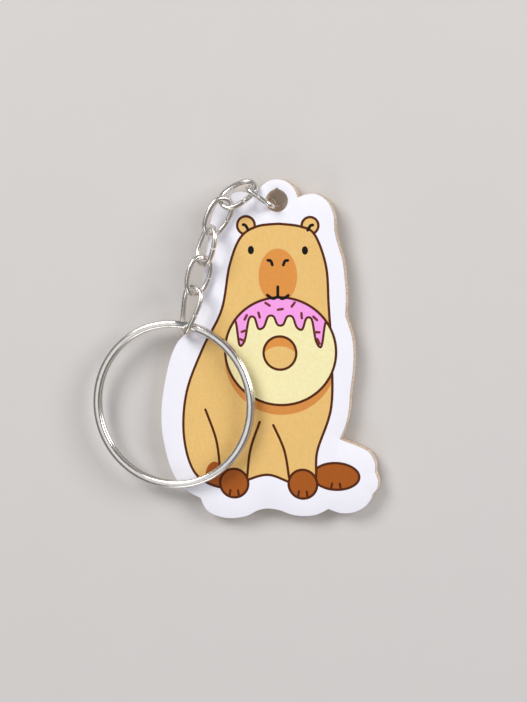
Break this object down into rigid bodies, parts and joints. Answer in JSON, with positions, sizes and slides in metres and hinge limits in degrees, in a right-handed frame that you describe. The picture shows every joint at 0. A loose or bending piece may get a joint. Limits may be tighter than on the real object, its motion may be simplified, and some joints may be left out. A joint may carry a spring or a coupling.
{
  "type": "keychain",
  "caption": "Flat printed wooden animal charm with a hanging tab, a short wire chain through its hole and a two-turn split ring.",
  "frame": {"origin": "middle of the board's flat back face", "axes": "+X to the charm's right as seen from the printed face, +Y from the feet to the hanging tab, +Z out of the printed face"},
  "size_m": [0.0523, 0.0611, 0.0086],
  "materials": {
    "wood": "satin",
    "print": "satin",
    "steel": "polished"
  },
  "bodies": {
    "board": {"board": "wood", "printed_face": "print"},
    "hole_link": {"hole_link": "steel"},
    "chain_link_1": {"chain_link_1": "steel"},
    "chain_link_2": {"chain_link_2": "steel"},
    "chain_link_3": {"chain_link_3": "steel"},
    "chain_link_4": {"chain_link_4": "steel"},
    "end_link": {"end_link": "steel"},
    "split_ring": {"split_ring": "steel"}
  },
  "joints": [
    {"name": "hole_link_round_tab", "type": "hinge", "parent": "board", "child": "hole_link", "pos_m": [0.0016, 0.02658, 0], "axis": [0, 0, 1], "range_deg": [-120, 0]},
    {"name": "chain_link_1_hook", "type": "hinge", "parent": "hole_link", "child": "chain_link_1", "pos_m": [-0.00354, 0.02887, 0.00295], "axis": [0, 0, 1], "range_deg": [-65, 0]},
    {"name": "chain_link_2_hook", "type": "hinge", "parent": "chain_link_1", "child": "chain_link_2", "pos_m": [-0.00784, 0.02597, 0.0053], "axis": [0.6276, -0.6514, 0.4263], "range_deg": [-60, 0]},
    {"name": "chain_link_3_hook", "type": "hinge", "parent": "chain_link_2", "child": "chain_link_3", "pos_m": [-0.01011, 0.02078, 0.00547], "axis": [-0.5962, 0.3038, 0.7431], "range_deg": [0, 60]},
    {"name": "chain_link_4_hook", "type": "hinge", "parent": "chain_link_3", "child": "chain_link_4", "pos_m": [-0.01155, 0.01536, 0.00535], "axis": [0.7777, -0.223, 0.5878], "range_deg": [-60, 0]},
    {"name": "end_link_hook", "type": "hinge", "parent": "chain_link_4", "child": "end_link", "pos_m": [-0.0131, 0.00998, 0.00535], "axis": [-0.6432, 0.1844, 0.7431], "range_deg": [0, 60]},
    {"name": "split_ring_spin", "type": "hinge", "parent": "end_link", "child": "split_ring", "pos_m": [-0.01711, -0.01, 0.00429], "axis": [-0.0698, 0, 0.9976], "continuous": true}
  ]
}
